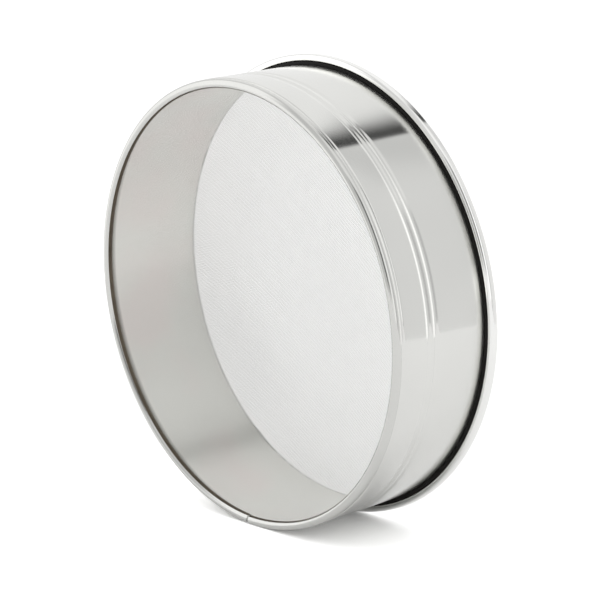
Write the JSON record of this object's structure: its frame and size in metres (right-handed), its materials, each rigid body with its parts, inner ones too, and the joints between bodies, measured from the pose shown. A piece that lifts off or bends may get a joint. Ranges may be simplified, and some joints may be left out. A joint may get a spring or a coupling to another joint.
{
  "type": "drum sieve",
  "caption": "Shallow stainless drum sieve: a band with a wired rolled rim and twin grooves, woven wire cloth across the foot, held by a wider rolled hoop and a black rubber ring.",
  "frame": {"origin": "centre of the ring that the sieve rests on, at the underside of the hoop", "axes": "+Z along the drum's axis, from the cloth up to the open mouth; the seam of the rolled rim is near +Y"},
  "size_m": [0.2618, 0.2618, 0.0688],
  "materials": {
    "stainless_sheet": "bright polished outside, satin inside",
    "stainless_wire": "drawn wire, satin",
    "stainless_cloth": "fine drawn wire, woven",
    "black_rubber": "matt moulded"
  },
  "bodies": {
    "root": {"drum_wall": "stainless_sheet", "top_rim_wire": "stainless_wire", "warp_wire_1": "stainless_cloth", "warp_wire_2": "stainless_cloth", "warp_wire_3": "stainless_cloth", "warp_wire_4": "stainless_cloth", "warp_wire_5": "stainless_cloth", "warp_wire_6": "stainless_cloth", "warp_wire_7": "stainless_cloth", "warp_wire_8": "stainless_cloth", "warp_wire_9": "stainless_cloth", "warp_wire_10": "stainless_cloth", "warp_wire_11": "stainless_cloth", "warp_wire_12": "stainless_cloth", "warp_wire_13": "stainless_cloth", "warp_wire_14": "stainless_cloth", "warp_wire_15": "stainless_cloth", "warp_wire_16": "stainless_cloth", "warp_wire_17": "stainless_cloth", "weft_wire_1": "stainless_cloth", "weft_wire_2": "stainless_cloth", "weft_wire_3": "stainless_cloth", "weft_wire_4": "stainless_cloth", "weft_wire_5": "stainless_cloth", "weft_wire_6": "stainless_cloth", "weft_wire_7": "stainless_cloth", "weft_wire_8": "stainless_cloth", "weft_wire_9": "stainless_cloth", "weft_wire_10": "stainless_cloth", "weft_wire_11": "stainless_cloth", "weft_wire_12": "stainless_cloth", "weft_wire_13": "stainless_cloth", "weft_wire_14": "stainless_cloth", "weft_wire_15": "stainless_cloth", "weft_wire_16": "stainless_cloth", "weft_wire_17": "stainless_cloth", "seal_ring": "black_rubber", "mesh_hoop": "stainless_sheet"}
  },
  "joints": []
}
